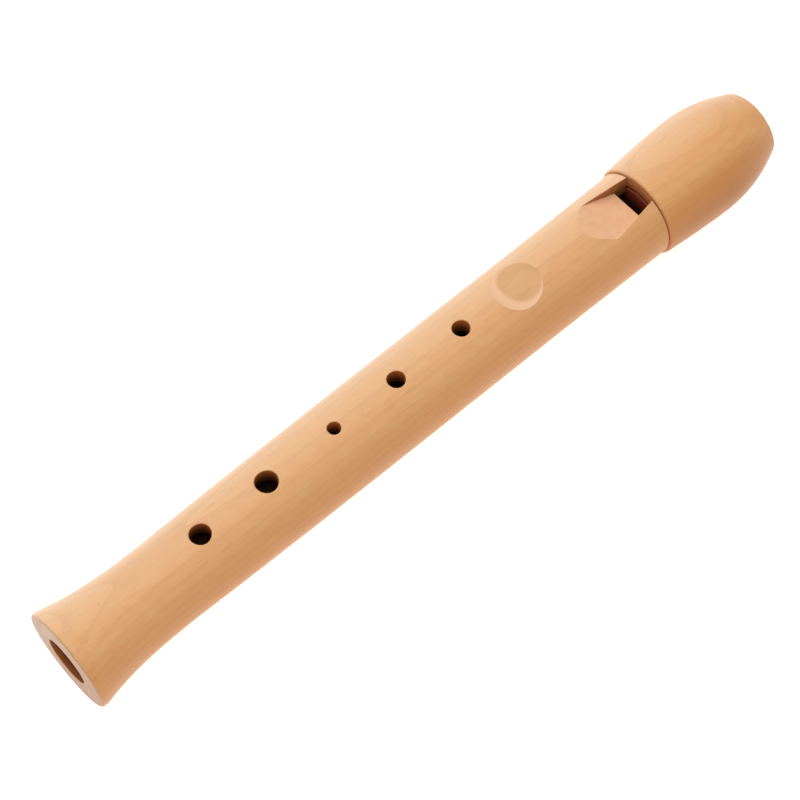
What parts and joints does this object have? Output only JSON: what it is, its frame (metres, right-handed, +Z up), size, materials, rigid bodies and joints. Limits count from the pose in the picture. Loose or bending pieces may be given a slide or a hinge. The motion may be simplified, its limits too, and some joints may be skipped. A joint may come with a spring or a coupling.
{
  "type": "recorder",
  "caption": "Small wooden recorder: a turned tube with finger holes, a finger hollow and a fipple window with its block, and an olive-shaped mouthpiece that pulls off.",
  "frame": {"origin": "on the surface that the recorder lies on, under the middle of its length", "axes": "+X along the bore from the foot to the mouthpiece, +Z up through the finger holes, +Y to the left when looking from the foot to the mouthpiece"},
  "size_m": [0.3096, 0.039, 0.039],
  "materials": {
    "maple": "oiled satin",
    "cedar": "bare, matt",
    "cork": "bare, matt"
  },
  "bodies": {
    "body": {"body": "maple", "block": "cedar", "tenon_cork": "cork"},
    "mouthpiece": {"mouthpiece": "maple"}
  },
  "joints": [
    {"name": "mouthpiece_pull", "type": "slide", "parent": "body", "child": "mouthpiece", "axis": [1, 0, 0], "range_m": [0, 0.036]}
  ]
}
